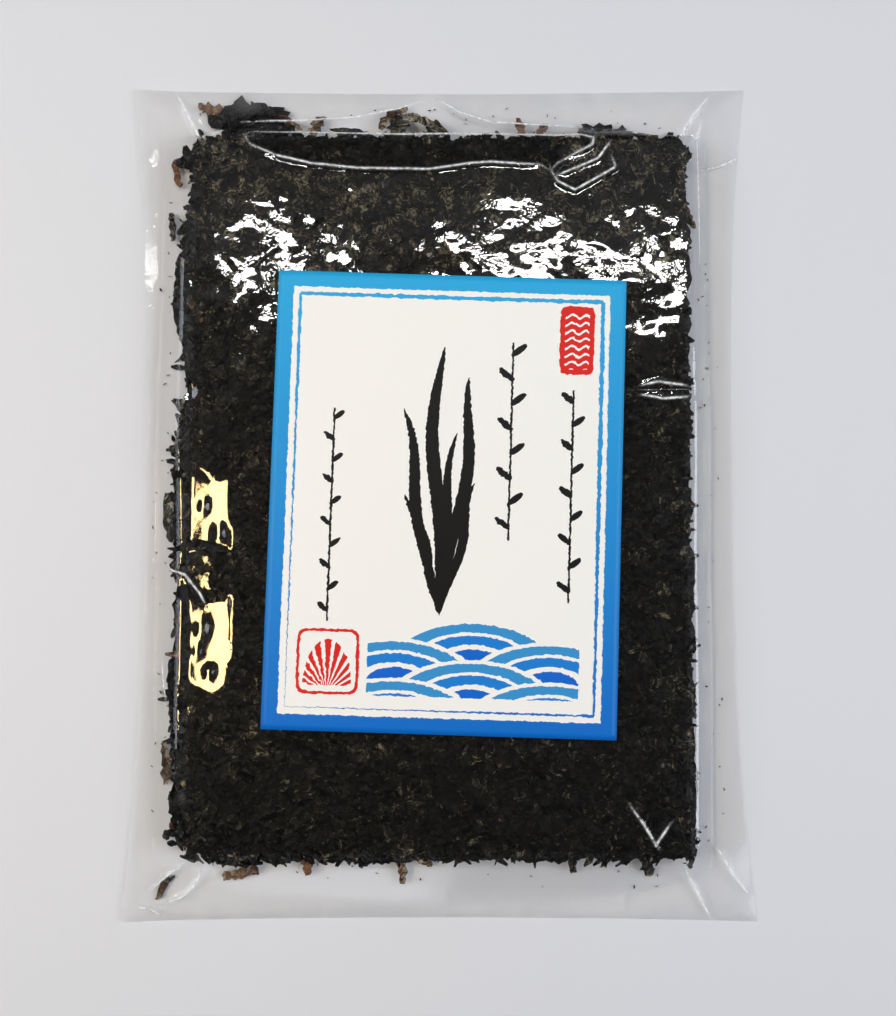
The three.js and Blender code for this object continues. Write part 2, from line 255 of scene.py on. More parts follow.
# The left shoulder: where it starts, how wide it is, and the middle and reach of its taut stretches
SHOULDER_START = -61.3
SHOULDER_WIDTH = 13.5
TAUT_STRETCHES = [(-5.0, 9.5), (-44.0, 12.5)]


def left_shoulder(x, y):
    """How far the film has dropped from the crown towards the stack's left side, and how taut it is there.

    Two stretches are taut and slope evenly, and between them the film stays up and bends further out.
    """
    share = np.clip((SHOULDER_START - x) / SHOULDER_WIDTH, 0, 1)
    wander = 2.0 * wrinkle(x, y, 9.0, 4.5)
    taut = np.zeros_like(x)
    for middle, reach in TAUT_STRETCHES:
        taut = np.maximum(taut, np.clip(2.4 - np.abs((y - middle + wander) / reach) ** 2 * 1.4, 0, 1))
    drop = 1.43 * taut * share + 0.5 * (1 - taut) * share**2
    for dent_x, dent_y, depth, width in SHOULDER_DENTS:
        drop += depth * np.exp(-(((x - dent_x) / width) ** 2) - ((y - dent_y) / (1.4 * width)) ** 2)
    return drop, taut * np.clip(share * 8, 0, 1)


def film_rise(x, y):
    """0 where the film lies on the back panel, 1 where it lies on the stack, and ramps between."""
    drift = 0.8 * np.sin(y / 37.0 + 1.0) + 0.5 * np.sin(y / 13.0)
    left = soft_ramp((x - LEFT_FOOT + 0.5 * drift) / LEFT_SLOPE)
    right = soft_ramp((RIGHT_FOOT - x + 0.4 * drift) / RIGHT_SLOPE)
    top_foot = np.interp(x, *zip(*TOP_FOOT))
    top = soft_ramp((top_foot - y) / (top_foot - STACK_TOP))
    bottom_foot = np.interp(x, *zip(*BOTTOM_FOOT))
    bottom = soft_ramp((y - bottom_foot) / (STACK_FOOT - bottom_foot))
    return left * right * top * bottom


def film_margin(x, y):
    """1 on the flat margin outside the stack and 0 over it."""
    return np.clip(1 - 14 * film_rise(x, y), 0, 1)


def film_milk(x, y):
    """How milky the film is: almost clear on the seaweed, faintly white near the bag's rim."""
    streaks = np.clip(0.6 + 1.2 * wrinkle(x * 1.8, y * 0.4, 14.0, 12.5), 0, 1.4)
    return 0.001 + 0.12 * film_margin(x, y) * streaks * np.clip((9 - from_rim(x, y)) / 6, 0.12, 1)


def film_gloss(x, y):
    """How much of one face's mirroring the film shows: little in the margins, both faces' on the stack."""
    flank = np.clip((x + 80.5) / 3.0, 0, 1)
    margin = np.where(x < 0, 0.08 + 0.27 * film_margin(x, y), 0.35)
    return margin + 1.35 * flank * np.clip((film_rise(x, y) - 0.95) / 0.05, 0, 1)


def slack_drop(x, y):
    """The slack film between the two long creases at the top slopes down towards the stack's edge."""
    low = np.interp(x, *zip(*SLACK_START))
    inside = np.clip((x - SLACK_ENDS[0]) / 5, 0, 1) * np.clip((SLACK_ENDS[1] - x) / 6, 0, 1)
    return 1.5 * np.clip((y - low) / 12.0, 0, 1.2) * inside


def film_height(x, y):
    """The height of the front film at each place."""
    raised = film_rise(x, y)
    margin = 1 - np.exp(-np.clip(from_rim(x, y), 0, None) / 3.5)
    billow = 1.0 + 0.8 * wrinkle(x, y, 26.0, 2.5)
    ends = np.clip((np.abs(y) - 104) / 10, 0, 1)
    height = SEALED_RIM + margin * (0.12 + 1.6 * ends) * billow * (1 - raised)
    drop, taut = left_shoulder(x, y)
    lift = CROWN - SEALED_RIM + crown_relief(x, y) * (1 - 0.85 * taut) - drop - slack_drop(x, y)
    height += lift * raised
    height += 0.08 * np.clip(-83.5 - x, 0, None)
    for points, rise, width in CREASES + fin_creases():
        side, strength = crease_place(x, y, points)
        height += rise * strength * np.exp(-((side / (1.5 * width)) ** 2)) * np.minimum(1, margin + 0.1)
    return np.maximum(height, LOWEST_FRONT)


# Mesh makers: each starts from a bmesh grid, whose points a formula then places


def unit_mesh(name, shape):
    """A mesh from a bmesh grid that is 1 across, with each point's shares of the way across and up."""
    mesh = bpy.data.meshes.new(name)
    shape.to_mesh(mesh)
    shape.free()
    flat = np.empty(len(mesh.vertices) * 3, np.float32)
    mesh.vertices.foreach_get("co", flat)
    return mesh, flat[0::3].astype(float) + 0.5, flat[1::3].astype(float) + 0.5


def set_points(mesh, x, y, z):
    """Moves a mesh's points to places in millimetres."""
    mesh.vertices.foreach_set("co", np.stack([x, y, z], 1).astype(np.float32).ravel() * MM)
    mesh.update()


def grid_mesh(name, columns, rows, place):
    """A grid of columns by rows cells. place(u, v) takes shares from 0 to 1 and gives x, y and z in mm."""
    shape = bmesh.new()
    bmesh.ops.create_grid(shape, x_segments=columns, y_segments=rows, size=0.5)
    mesh, u, v = unit_mesh(name, shape)
    set_points(mesh, *place(u, v))
    return mesh


def add_wall(mesh, foot, closed):
    """Extrudes a mesh's rim into a wall and may close it below. foot gives the height of the wall's foot."""
    shape = bmesh.new()
    shape.from_mesh(mesh)
    rim = [edge for edge in shape.edges if edge.is_boundary]
    wall = bmesh.ops.extrude_edge_only(shape, edges=rim)["geom"]
    for point in wall:
        if isinstance(point, bmesh.types.BMVert):
            point.co.z = foot(point.co.z)
    if closed:
        ring = [edge for edge in wall if isinstance(edge, bmesh.types.BMEdge) and edge.is_boundary]
        bmesh.ops.contextual_create(shape, geom=ring)
    bmesh.ops.recalc_face_normals(shape, faces=shape.faces)
    shape.to_mesh(mesh)
    shape.free()


def joined_mesh(name, meshes):
    """One mesh from several, with their points kept in order."""
    shape = bmesh.new()
    for mesh in meshes:
        shape.from_mesh(mesh)
        bpy.data.meshes.remove(mesh)
    whole = bpy.data.meshes.new(name)
    shape.to_mesh(whole)
    shape.free()
    return whole


def set_attribute(mesh, name, values):
    """Stores one number on each point of a mesh, for its material to read."""
    layer = mesh.attributes.new(name, "FLOAT", "POINT")
    layer.data.foreach_set("value", np.asarray(values, np.float32))


def add_piece(name, mesh, material, *nodes, slot=None):
    """Puts a mesh in the scene as a piece that rides on the pack and stands for its nodes."""
    piece = bpy.data.objects.new(name, mesh)
    bpy.context.scene.collection.objects.link(piece)
    mesh.materials.append(material)
    for face in mesh.polygons:
        face.use_smooth = True
    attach(piece, BODY)
    if nodes:
        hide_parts(*nodes)


# Materials


class Nodes:
    """A material's node tree, with one way to add a node with its settings and links."""

    def __init__(self, name):
        self.material = bpy.data.materials.new(name)
        self.material.use_nodes = True
        self.tree = self.material.node_tree
        self.tree.nodes.clear()

    def add(self, kind, inputs=(), **settings):
        """Adds a node. kind is its type, or the operation of a Math node in capitals.

        inputs is a list in the order of its sockets, or a dict by their names or numbers. A node in it means
        that node's first output.
        """
        if kind.isupper():
            kind, settings["operation"] = "Math", kind
        node = self.tree.nodes.new("ShaderNode" + kind)
        for key, value in settings.items():
            setattr(node, key, value)
        for key, value in inputs.items() if isinstance(inputs, dict) else enumerate(inputs):
            if isinstance(value, bpy.types.Node):
                value = value.outputs[0]
            if isinstance(value, bpy.types.NodeSocket):
                self.tree.links.new(value, node.inputs[key])
            else:
                node.inputs[key].default_value = value
        return node

    def finish(self, shader):
        self.add("OutputMaterial", {"Surface": shader})
        return self.material


def repeats(size):
    """How often a pattern of a size in millimetres repeats in a metre."""
    return 1 / (size * MM)


# The shades of dried laver from its thickest, blackest places to its thinnest, bleached ones; the painted
# sheen on the top of the stack also lifts fronds towards the pale end
SEAWEED = "dried_laver_seaweed"
SEAWEED_SHADES = [
    (0.0, "#010101"), (0.42, "#050404"), (0.56, "#14120f"),
    (0.7, "#3b382e"), (0.84, "#746d5b"), (1.0, "#a69d84"),
]


def seaweed_material():
    """Dried laver: near-black fronds with a satin skin, brown and olive where they are thin or bleached."""
    if SEAWEED in bpy.data.materials:
        return bpy.data.materials[SEAWEED]
    n = Nodes(SEAWEED)
    tip_colour = bpy.context.scene.rock_nori_sheets.tip_colour
    place = n.add("TexCoord").outputs["Object"]
    tint = n.add("Attribute", attribute_name="tint").outputs["Fac"]
    # Crumpled leaves: cells about 3.4 mm and 1.2 mm across, drawn out along swirls
    swirl = n.add("TexNoise", {"Vector": place, "Scale": repeats(5.88), "Detail": 2.0}).outputs["Color"]
    drift = n.add("VectorMath", [swirl, (12 * MM, 12 * MM, 0.0)], operation="MULTIPLY")
    bent = n.add("VectorMath", [place, drift], operation="ADD")
    leaves = n.add("TexVoronoi", {"Vector": bent, "Scale": repeats(3.448)})
    shreds = n.add("TexVoronoi", {"Vector": bent, "Scale": repeats(1.25)})
    leaf = n.add("SeparateColor", [leaves.outputs["Color"]]).outputs
    shred = n.add("SeparateColor", [shreds.outputs["Color"]]).outputs
    broad = n.add("TexNoise", {"Vector": place, "Scale": repeats(11.11), "Detail": 2.0})
    veins = n.add("TexNoise", {"Vector": bent, "Scale": repeats(0.9091), "Detail": 4.0})
    # Each place's shade: the frond's tint, which on the top of the stack carries a painted sheen, a shade
    # for each leaf and shred, and patches and veins
    vein_weight, patch_weight = 1.6, 0.55
    shade = n.add("MULTIPLY_ADD", [tint, 0.52, -(vein_weight + patch_weight) / 2])
    for pattern, weight in [(leaf[0], 0.31), (shred[1], 0.22), (broad, patch_weight)]:
        shade = n.add("MULTIPLY_ADD", [pattern, weight, shade])
    shade = n.add("MULTIPLY_ADD", [veins, vein_weight, shade], use_clamp=True)
    ramp = n.add("ValToRGB", [shade])
    while len(ramp.color_ramp.elements) < len(SEAWEED_SHADES):
        ramp.color_ramp.elements.new(0.5)
    for element, (position, colour) in zip(ramp.color_ramp.elements, SEAWEED_SHADES):
        element.position = position
        element.color = linear(colour)
    # The torn tips that stand out are reddish or golden brown
    golden = n.add("MULTIPLY_ADD", [tint, 6.0, -4.8], use_clamp=True)
    golden = n.add("MULTIPLY", [golden, 0.7])
    warm = n.add("Mix", {0: golden, 6: ramp.outputs["Color"], 7: tip_colour}, data_type="RGBA").outputs[2]
    relief = n.add("MULTIPLY_ADD", [leaves, 0.9, n.add("MULTIPLY", [veins, 0.9])])
    relief = n.add("MULTIPLY_ADD", [shreds, 0.3, relief])
    bump = n.add("Bump", {"Height": relief, "Strength": 0.9, "Distance": 0.6 * MM})
    roughness = n.add("MULTIPLY_ADD", [leaf[2], -0.28, 0.45])
    skin = {"Base Color": warm, "Roughness": roughness, "Specular IOR Level": 0.28, "Normal": bump}
    return n.finish(n.add("BsdfPrincipled", skin))


# What the front film's points store for its material, and half the width of a crease's white line in mm,
# which is partly milky and partly a painted highlight
FILM_MARKS = ("crease_side", "crease_mark", "milk", "gloss", "touching")
CREASE_LINE = 0.35


def film_material():
    """Oriented polypropylene film: clear and glossy, milky near its rim, and white along its creases, partly
    its own stress whitening and partly a painted highlight.
    """
    n = Nodes("polypropylene_film")
    place = n.add("TexCoord").outputs["Object"]
    marks = [n.add("Attribute", attribute_name=name).outputs["Fac"] for name in FILM_MARKS]
    side, mark, milk, gloss_share, touching = marks
    crackle = n.add("TexNoise", {"Vector": place, "Scale": repeats(1.25), "Detail": 1.0})
    # Where the film touches the seaweed it takes its fine grain, and between such places it stays smooth
    contact = n.add("TexNoise", {"Vector": place, "Scale": repeats(9.091), "Detail": 2.0})
    contact = n.add("MULTIPLY_ADD", [contact, 4.0, -1.6], use_clamp=True)
    contact = n.add("MULTIPLY", [contact, touching])
    # A crease is a sharp, broken white line with a rounded ridge under it. Its white is partly the film's
    # stress whitening and partly a painted highlight for the crease's glint
    across = n.add("MULTIPLY", [side, 1 / CREASE_LINE])
    line = n.add("MULTIPLY", [n.add("MULTIPLY", [across, across]), -1.0])
    line = n.add("EXPONENT", [line])
    broken = n.add("MULTIPLY_ADD", [crackle, 2.6, -0.3])
    line = n.add("MULTIPLY", [line, n.add("MULTIPLY", [mark, broken])])
    grain = n.add("MULTIPLY", [crackle, n.add("MULTIPLY_ADD", [contact, 0.45, 0.04])])
    height = n.add("MULTIPLY_ADD", [line, 0.7, grain])
    bump = n.add("Bump", {"Height": height, "Strength": 1.0, "Distance": 0.1 * MM})
    fresnel = n.add("Fresnel", {"IOR": 1.5, "Normal": bump})
    share = n.add("MULTIPLY", [fresnel, gloss_share], use_clamp=True)
    clear = n.add("BsdfTransparent", {"Color": linear("#ffffff")})
    gloss = n.add("BsdfGlossy", {"Color": linear("#ffffff"), "Roughness": 0.045, "Normal": bump})
    sheet = n.add("MixShader", [share, clear, gloss])
    # The diffuse white: the film's milkiness near the rim, and along creases partly a painted highlight
    milk_and_painted_glint = n.add("MULTIPLY_ADD", [line, 0.8, milk], use_clamp=True)
    white = n.add("BsdfDiffuse", {"Color": linear("#f2f4f5")})
    return n.finish(n.add("MixShader", [milk_and_painted_glint, sheet, white]))


# The seaweed


def ragged(t, seed, depth):
    """How far a sheet's edge is torn back at each place along it, in mm."""
    row = np.full_like(t, seed)
    broad = np.abs(wrinkle(t, row, 15.0, seed)) * 2.4
    middle = np.abs(wrinkle(t, row, 5.0, seed + 1)) * 1.3
    fine = np.abs(wrinkle(t, row, 1.8, seed + 3)) * 0.25
    return depth * (broad + middle + fine)


def sheet_bounds(sheet, x, y):
    """The four ragged edges of a sheet at each place: left and right at y, bottom and top at x."""
    left, bottom, right, top = sheet["box"]
    seed = sheet["seed"]
    lefts = left + ragged(y, seed + 0.1, TEAR_DEPTH)
    rights = right - ragged(y, seed + 0.3, TEAR_DEPTH * 0.7)
    bottoms = bottom + ragged(x, seed + 0.5, TEAR_DEPTH)
    tops = top - ragged(x, seed + 0.7, TEAR_DEPTH)
    lefts = lefts + 5.0 * np.clip((y - 78) / 34, 0, 1) + 8.0 * np.clip((-97 - y) / 12, 0, 1) ** 1.5
    corner = np.clip((np.abs(x - 2) - 62) / 14, 0, 1)
    tops = tops - CORNER_CUT * corner**1.4
    bottoms = bottoms + 2.5 * corner**2
    for notch_side, notch_y, reach, deep in sheet["notches"]:
        notch = deep * np.clip(1 - (np.abs(y - notch_y) / reach) ** 2, 0, 1)
        if notch_side < 0:
            lefts = lefts + notch
        else:
            rights = rights - notch
    return lefts, rights, bottoms, tops


def felt_relief(x, y, seed):
    """The lumpy surface of the felt under its loose fronds, in mm."""
    lumps = 0.28 * wrinkle(x, y, 5.5, seed) + 0.16 * wrinkle(x, y, 2.4, seed + 1)
    return lumps + 0.3 * wrinkle(x, y, 22.0, seed + 2)


def sheet_slab(sheet):
    """The felted body of a sheet: a relief on its showing face, a ragged wall, and a plain hidden face."""
    left, bottom, right, top = sheet["box"]
    width, length = right - left, top - bottom

    def place(u, v):
        y0 = bottom + length * v
        x0 = left + width * u
        lefts, rights, bottoms, tops = sheet_bounds(sheet, x0, y0)
        x = lefts + (rights - lefts) * u
        y = bottoms + (tops - bottoms) * v
        edge = np.minimum(np.minimum(u, 1 - u) * width, np.minimum(v, 1 - v) * length)
        droop = 0.55 * np.exp(-edge / 2.5)
        z = sheet["showing"] + sheet["side"] * (felt_relief(x, y, sheet["seed"]) - droop - 0.2)
        if sheet["side"] > 0:
            z = np.minimum(z, film_height(x, y) - SLAB_GAP)
        return x, y, z

    mesh = grid_mesh(sheet["name"], int(width / sheet["cell"]), int(length / sheet["cell"]), place)
    hidden = sheet["floor"] if sheet["side"] > 0 else sheet["floor"] + SHEET_THICKNESS
    add_wall(mesh, lambda z: hidden * MM, closed=True)
    return mesh


def frond_mesh(name, fronds, cells):
    """Many small fronds in one mesh: each is two cells wide, folded along its middle, and lies on a curve.

    fronds holds one array for each property, in mm and radians: x and y of the middle, heading, length,
    width, curl, base height, arch, fold, roll, how far it sinks below the film where it reaches it, side
    (1 for an upper face, -1 for a lower one) and tint.
    """
    count = len(fronds["x"])
    columns = 3 * count - 1
    shape = bmesh.new()
    bmesh.ops.create_grid(shape, x_segments=columns, y_segments=cells, size=0.5)
    gaps = [face for face in shape.faces if int((face.calc_center_median().x + 0.5) * columns) % 3 == 2]
    bmesh.ops.delete(shape, geom=gaps, context="FACES")
    mesh, u, v = unit_mesh(name, shape)
    column = np.rint(u * columns).astype(int)
    which, side = column // 3, column % 3 - 1
    share = np.rint(v * cells) / cells
    draw = np.random.default_rng(count)
    own = {key: np.asarray(values)[which] for key, values in fronds.items()}
    turn = own["heading"] + own["curl"] * (share - 0.5)
    step = (share - 0.5) * own["length"]
    bend = own["curl"] * (share - 0.5) / 2
    x = own["x"] + step * np.cos(own["heading"] + bend)
    y = own["y"] + step * np.sin(own["heading"] + bend)
    taper = np.sin(np.pi * (0.1 + 0.8 * share)) ** 0.7
    half = own["width"] / 2 * taper * draw.uniform(0.6, 1.25, len(x)) * side
    x = x - np.sin(turn) * half + draw.normal(0, 0.06, len(x)) * own["width"]
    y = y + np.cos(turn) * half + draw.normal(0, 0.06, len(x)) * own["width"]
    lift = own["arch"] * np.sin(np.pi * share) + own["fold"] * (side == 0) * taper + own["roll"] * half
    z = own["z"] + own["side"] * lift + draw.normal(0, 0.05, len(x)) * own["width"]
    set_points(mesh, x, y, np.clip(z, LOWEST_FROND, film_height(x, y) - FROND_GAP - own["sink"]))
    return mesh, own["tint"]


def stacked(groups):
    """One set of frond arrays from several."""
    return {key: np.concatenate([np.asarray(group[key], float) for group in groups]) for key in groups[0]}


def face_fronds(sheet, count, draw):
    """Fronds felted into the showing face, and none on the top sheet where the label hides them."""
    left, bottom, right, top = sheet["box"]
    x = draw.uniform(left + 2, right - 2, count)
    y = draw.uniform(bottom + 2, top - 2, count)
    if sheet["side"] > 0:
        # A frond whose middle lies well inside the label's outline doesn't show
        hidden = np.abs(x - LABEL_MIDDLE[0]) < LABEL_SIZE[0] / 2 - 3.75
        hidden &= np.abs(y - LABEL_MIDDLE[1]) < LABEL_SIZE[1] / 2 - 4.0
        x, y = x[~hidden], y[~hidden]
    count = len(x)
    size = draw.uniform(0, 1, count) ** 2.5
    length = 1.9 + 5.4 * size
    width = (0.6 + 1.2 * draw.uniform(0, 1, count)) * (0.9 + 0.9 * size)
    patch = wrinkle(x, y, 9.0, 6.5)
    # The upper part of the stack is painted paler: a painted sheen for the soft reflection of the film and
    # fronds there. It is darker where the slack film slopes down at the very top
    slack = np.clip((y - 98) / 6, 0, 1) * (np.abs(x + 10) < 50)
    painted_top_light = np.clip((y - 40) / 40, 0, 1) - 1.2 * slack
    tint = draw.uniform(0, 1, count) ** 1.7 * 0.8 + 0.3 * patch - 0.15 + 0.52 * painted_top_light
    # The felt is laid in swirls, so neighbours lie nearly alongside each other
    heading = 3.2 * wrinkle(x, y, 12.0, 8.5) + draw.normal(0, 0.7, count)
    base = sheet["showing"] + sheet["side"] * (felt_relief(x, y, sheet["seed"]) - 0.25)
    if sheet["side"] > 0:
        base = np.minimum(base, film_height(x, y) - SLAB_GAP - 0.05)
    return dict(
        x=x, y=y, heading=heading, length=length, width=width,
        curl=draw.normal(0, 0.8, count),
        z=base,
        arch=0.15 + 0.5 * draw.uniform(0, 1, count) ** 2,
        fold=draw.normal(0.04, 0.16, count),
        roll=draw.normal(0, 0.21, count),
        sink=draw.uniform(0, 0.3, count),
        side=np.full(count, sheet["side"]),
        tint=np.clip(tint, 0, 0.78),
    )


def edge_fronds(sheet, draw):
    """Torn fronds round a sheet's edge."""
    left, bottom, right, top = sheet["box"]
    across, along, spacing = right - left, top - bottom, sheet["spacing"]
    run = np.arange(0, 2 * (across + along), spacing)
    run = run + draw.uniform(-spacing, spacing, len(run))
    run = np.mod(run, 2 * (across + along))
    # Side 0 is the foot, 2 the top, 1 and 3 the long sides
    side = np.searchsorted([across, across + along, 2 * across + along], run, side="right")
    t = run - np.array([0, across, across + along, 2 * across + along])[side]
    x = np.choose(side, [left + t, t * 0 + right, right - t, t * 0 + left])
    y = np.choose(side, [t * 0 + bottom, bottom + t, t * 0 + top, top - t])
    lefts, rights, bottoms, tops = sheet_bounds(sheet, x, y)
    x = np.choose(side, [x, rights - 1.3, x, lefts + 1.2])
    y = np.choose(side, [bottoms + 1.4, y, tops - 1.2, y])
    outward = np.choose(side, [-np.pi / 2, 0, np.pi / 2, np.pi])
    count = len(run)
    reach = 1.4 + sheet["reach"] * draw.uniform(0, 1, count) ** 4 * np.array([0.45, 0.4, 1.0, 0.5])[side]
    middle = sheet["floor"] + SHEET_THICKNESS * draw.uniform(0.15, 0.9, count)
    # Most torn fronds lie along the edge and only some stick out
    aside = draw.choice([-1, 1], count) * np.where(draw.uniform(0, 1, count) < 0.72, 1.35, 0.4)
    heading = outward + aside + draw.normal(0, 0.4, count)
    length = reach * 1.5
    return dict(
        x=x + np.cos(heading) * (length / 2 - 1.0),
        y=y + np.sin(heading) * (length / 2 - 1.0),
        heading=heading,
        length=length,
        width=draw.uniform(0.6, 1.8, count) + 0.3 * reach,
        curl=draw.normal(0, 0.9, count),
        z=middle,
        arch=draw.normal(0.1, 0.3, count),
        fold=draw.normal(0, 0.12, count),
        roll=draw.normal(0, 0.3, count),
        sink=draw.uniform(0, 0.3, count),
        side=np.ones(count),
        tint=draw.uniform(0, 1, count) ** 2.2 * 0.9,
    )


def chosen_fronds(rows):
    """Fronds that stand out, listed one by one: root x, y, heading, length, width, curl, height, tint."""
    x, y, degrees, length, width, curl, height, tint = (np.array(column, float) for column in zip(*rows))
    heading = np.radians(degrees)
    order = np.arange(len(x))
    return dict(
        x=x + np.cos(heading) * length / 2,
        y=y + np.sin(heading) * length / 2,
        heading=heading, length=length, width=width, curl=curl, z=height,
        arch=np.full_like(x, 0.5),
        fold=np.full_like(x, 0.12),
        roll=np.where(order % 2 == 0, 0.06, -0.06),
        sink=0.09 * (order % 5),
        side=np.ones_like(x),
        tint=tint,
    )


# The torn fronds that stand out of each sheet: root x and y, heading in degrees, length, width, curl, height
# and tint
TORN_1 = [
    (-60.0, 105.0, 97, 20.6, 12.0, 0.1, 3.0, 0.05),
    (-72.0, 117.0, 14, 19.0, 7.5, 0.3, 3.4, 0.03),
    (-66.5, 112.0, 82, 12.0, 6.5, 0.1, 3.4, 0.04),
    (-54.5, 105.0, 78, 18.6, 9.0, 0.3, 3.2, 0.02),
    (-57.5, 104.0, 90, 20.3, 9.0, -0.2, 3.5, 0.05),
    (-52.0, 104.0, 92, 19.0, 8.0, -0.2, 3.0, 0.03),
    (-63.5, 105.0, 100, 17.0, 7.0, 0.3, 2.8, 0.1),
    (-66.0, 119.0, 4, 19.0, 6.5, -0.2, 3.3, 0.04),
    (-62.0, 113.5, 8, 17.0, 8.0, 0.2, 3.4, 0.03),
    (-60.5, 118.5, 163, 14.5, 4.2, -0.6, 3.0, 0.9),
    (-72.0, 121.0, 140, 5.0, 3.0, 0.8, 2.6, 0.93),
    (-50.5, 120.5, -38, 9.5, 2.0, 0.3, 3.2, 0.88),
    (-39.5, 112.5, 68, 8.0, 4.5, 0.4, 4.0, 0.84),
    (-34.0, 114.5, -8, 13.0, 2.6, 0.1, 4.0, 0.7),
    (-19.5, 115.5, 42, 12.0, 3.6, -1.0, 4.5, 0.84),
    (-12.0, 120.5, -25, 17.0, 3.2, -0.4, 4.5, 0.8),
    (-13.5, 112.0, 80, 7.5, 6.0, 0.2, 4.0, 0.5),
    (-3.0, 112.0, 65, 6.0, 5.0, -0.3, 4.0, 0.4),
    (26.0, 112.5, 100, 7.0, 3.4, 0.5, 4.0, 0.97),
    (30.5, 112.5, 55, 6.0, 2.8, -0.6, 4.0, 0.93),
    (45.0, 109.5, 75, 8.0, 6.0, 0.7, 6.6, 0.15),
    (52.0, 109.0, 92, 8.5, 8.0, -0.4, 6.6, 0.1),
    (58.0, 108.5, 100, 8.0, 8.0, 0.3, 6.6, 0.05),
    (49.0, 113.5, 5, 9.0, 3.0, 0.5, 6.0, 0.2),
    (64.0, 107.5, 85, 6.5, 7.0, 0.3, 6.6, 0.1),
    (-73.5, 103.5, 96, 12.5, 2.6, 0.5, 3.0, 0.35),
    (-81.5, 97.0, 100, 9.5, 2.8, -0.3, 1.6, 0.97),
    (-83.0, 80.0, 95, 9.0, 2.4, 0.3, 1.6, 0.75),
    (75.5, 92.5, -65, 10.0, 2.4, 0.2, 2.5, 0.88),
    (76.5, -60.0, -80, 8.0, 2.0, 0.2, 2.5, 0.9),
    (-82.6, -88.0, 93, 13.0, 3.4, 0.2, 1.7, 0.85),
    (-82.8, -14.0, 95, 15.0, 3.2, -0.2, 1.7, 0.72),
    (-57.5, -106.5, -72, 8.5, 2.4, 0.2, 2.4, 0.85),
    (-65.5, -115.0, 8, 10.0, 3.2, -0.3, 1.8, 0.9),
    (-40.0, -105.5, -88, 9.0, 3.8, 0.2, 2.4, 0.97),
    (-11.5, -106.0, -86, 11.0, 3.4, -0.1, 2.4, 0.88),
    (-8.0, -106.5, -45, 8.0, 2.8, 0.2, 2.4, 0.86),
    (40.0, -106.0, -88, 8.0, 3.4, 0.2, 2.4, 0.8),
    (62.0, -106.0, -82, 9.0, 4.4, 0.3, 2.4, 0.55),
]
TORN_2 = [
    (-70.0, -99.5, -67, 13.5, 3.2, 0.3, 3.4, 0.15),
    (-24.0, -105.0, -80, 7.0, 4.5, 0.4, 3.4, 0.5),
    (50.0, -105.0, -92, 7.0, 3.6, 0.1, 3.4, 0.6),
]
TORN_3 = [(-66.0, -101.0, -80, 8.0, 4.0, 0.1, 5.2, 0.2)]
TORN_4 = [
    (-68.0, -108.5, -5, 16.0, 3.0, 0.1, 7.2, 0.1),
    (66.0, 110.0, -18, 12.0, 3.0, -0.4, 7.4, 0.3),
]

# The sheets from the bottom up, in mm: box is left, bottom, right and top. A notch is the side that it is
# cut from, -1 for the left and 1 for the right, its place along that side, its reach and its depth.
SHEETS = [
    dict(
        seed=11, box=(-83.3, -110.0, 77.2, 112.0), cell=1.6, faces=4200, spacing=0.9, reach=5.0,
        chosen=TORN_1, notches=[(-1, 38, 15, 5.5), (-1, -45, 7, 3.0), (-1, -88, 6, 2.0), (-1, 90, 9, 1.5)],
    ),
    dict(
        seed=23, box=(-82.3, -109.0, 77.4, 112.2), cell=2.0, faces=0, spacing=1.1, reach=4.0,
        chosen=TORN_2, notches=[(-1, 34, 20, 4.0), (-1, -70, 9, 2.5)],
    ),
    dict(
        seed=37, box=(-80.7, -109.5, 77.6, 111.6), cell=1.8, faces=0, spacing=1.1, reach=3.0,
        chosen=TORN_3, notches=[(-1, 30, 16, 3.0), (-1, -104, 8, 4.0)],
    ),
    dict(
        seed=41, box=(-76.4, -110.6, 77.8, 112.4), cell=1.25, faces=13000, spacing=0.95, reach=2.4,
        chosen=TORN_4, notches=[(-1, -107, 9, 5.5), (-1, 112, 9, 3.5), (1, 112, 8, 2.5)],
    ),
]


def build_nori_sheet(index):
    name = f"nori_sheet_{index + 1}"
    floor = FIRST_FLOOR + index * SHEET_STEP
    # The bottom sheet shows its underside and the others their top
    side = -1 if index == 0 else 1
    showing = floor if index == 0 else floor + SHEET_THICKNESS
    sheet = {**SHEETS[index], "name": name, "floor": floor, "side": side, "showing": showing}
    draw = np.random.default_rng(sheet["seed"])
    slab = sheet_slab(sheet)
    slab_tint = np.full(len(slab.vertices), 0.2)
    groups = [edge_fronds(sheet, draw)]
    if sheet["faces"]:
        groups.append(face_fronds(sheet, sheet["faces"], draw))
    fronds, tint = frond_mesh(name + "_fronds", stacked(groups), 3)
    large, large_tint = frond_mesh(name + "_large", chosen_fronds(sheet["chosen"]), 10)
    mesh = joined_mesh(name + "_felt", [slab, fronds, large])
    set_attribute(mesh, "tint", np.concatenate([slab_tint, tint, large_tint]))
    add_piece(name + "_felt", mesh, seaweed_material(), name, slot="nori")


def add_fronds(name, fronds, cells, *nodes):
    """Puts fronds in the scene as a piece of their own."""
    mesh, tint = frond_mesh(name, fronds, cells)
    set_attribute(mesh, "tint", tint)
    add_piece(name, mesh, seaweed_material(), *nodes, slot="nori")


# The label and its print, in millimetres from the label's middle

BORDER = 4.8
LINE_INSET = 6.9

# The waves: each arc has a gap of bare paper round it, its own reach in shares of a scale, and its ink
WAVES_MIDDLE = (9.6, -47.0)
WAVES_SIZE = (63.0, 22.0)
WAVE_HALF_WIDTH = 23.1
WAVE_DEPTH = 12.0
WAVE_ROW_STEP = 5.9
WAVE_ARCS = [(1.09, 1.0, "#3a98d6"), (0.79, 0.71, "#1b84dc"), (0.49, 0.37, "#0b6ad6")]

